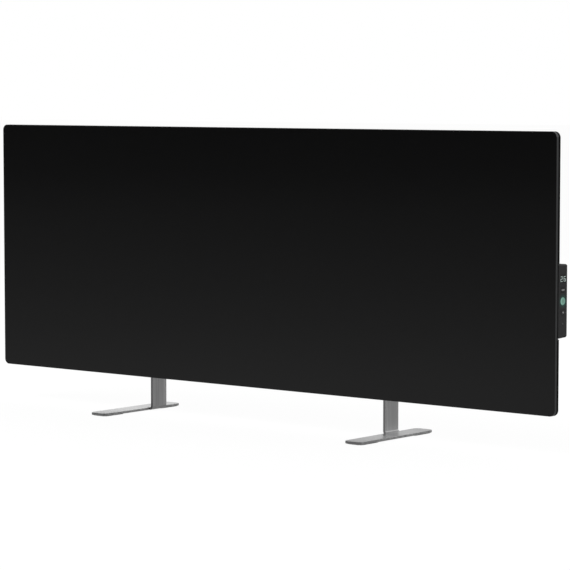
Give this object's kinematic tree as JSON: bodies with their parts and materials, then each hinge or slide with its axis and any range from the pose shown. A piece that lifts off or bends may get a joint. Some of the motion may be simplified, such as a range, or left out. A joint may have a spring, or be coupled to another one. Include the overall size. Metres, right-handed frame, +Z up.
{
  "type": "infrared panel heater",
  "caption": "Wide black glass heating panel standing upright on bent metal feet, with a slim control box with display and keys behind its right-hand edge.",
  "frame": {"origin": "on the floor under the middle of the panel, in the plane halfway through the glass", "axes": "+X to the right as one faces the panel, +Y to the back, +Z up"},
  "size_m": [1, 0.165, 0.4163],
  "materials": {
    "black_glass": "polished, black behind the front face",
    "heating_film": "matt dark layer",
    "copper": "bare foil",
    "dark_sealant": "matt",
    "brushed_steel": "fine brushed, satin",
    "zinc_plate": "bright zinc plated",
    "pad_rubber": "matt",
    "block_plastic": "moulded, fine texture",
    "box_plastic": "moulded, fine texture",
    "fascia_plastic": "moulded, satin",
    "smoked_lens": "polished, smoked",
    "digit_display": "lit digits",
    "light_guide": "clear, lit green",
    "board_green": "lacquered board",
    "part_black": "moulded",
    "part_blue": "moulded",
    "part_yellow": "taped",
    "part_white": "moulded",
    "fuse_glass": "clear with plated caps",
    "ribbon_grey": "flat cable",
    "lead_red": "silicone insulation"
  },
  "bodies": {
    "heater": {"front_glass_pane": "black_glass", "rear_glass_pane": "black_glass", "heating_film": "heating_film", "bus_bar_upper": "copper", "bus_bar_lower": "copper", "edge_seal": "dark_sealant", "foot_mount_right": "block_plastic", "foot_mount_left": "block_plastic", "wall_mount_right": "block_plastic", "wall_mount_left": "block_plastic", "foot_right": "brushed_steel", "foot_left": "brushed_steel", "foot_screw_right_upper": "zinc_plate", "foot_screw_left_upper": "zinc_plate", "foot_screw_right_lower": "zinc_plate", "foot_screw_left_lower": "zinc_plate", "foot_pad_right_front": "pad_rubber", "foot_pad_left_front": "pad_rubber", "foot_pad_right_rear": "pad_rubber", "foot_pad_left_rear": "pad_rubber", "control_base": "box_plastic", "control_cover": "box_plastic", "cover_screw_upper_left": "zinc_plate", "cover_screw_upper_right": "zinc_plate", "cover_screw_lower_left": "zinc_plate", "cover_screw_lower_right": "zinc_plate", "control_fascia": "fascia_plastic", "display_lens": "smoked_lens", "power_ring": "light_guide", "indicator_pipe": "light_guide", "display_board": "board_green", "digit_display": "digit_display", "minus_switch": "part_black", "power_switch": "part_black", "plus_switch": "part_black", "main_board": "board_green", "relay": "part_blue", "transformer": "part_yellow", "smoothing_capacitor": "part_black", "fuse": "fuse_glass", "mains_terminal": "part_white", "control_chip": "part_black", "tilt_switch": "part_white", "load_terminal_upper": "part_white", "load_terminal_lower": "part_white", "lead_upper": "lead_red", "lead_lower": "lead_red", "ribbon_cable": "ribbon_grey", "thermal_cutout": "part_black", "room_sensor": "part_black", "cable_gland": "block_plastic", "gland_nut": "block_plastic"},
    "minus_key": {"minus_key": "fascia_plastic"},
    "power_key": {"power_key": "fascia_plastic"},
    "plus_key": {"plus_key": "fascia_plastic"}
  },
  "joints": [
    {"name": "minus_press", "type": "slide", "parent": "heater", "child": "minus_key", "axis": [-1, 0, 0], "range_m": [0, 0.0005], "stiffness_N_per_m": 2000},
    {"name": "power_press", "type": "slide", "parent": "heater", "child": "power_key", "axis": [-1, 0, 0], "range_m": [0, 0.0005], "stiffness_N_per_m": 2000},
    {"name": "plus_press", "type": "slide", "parent": "heater", "child": "plus_key", "axis": [-1, 0, 0], "range_m": [0, 0.0005], "stiffness_N_per_m": 2000}
  ]
}
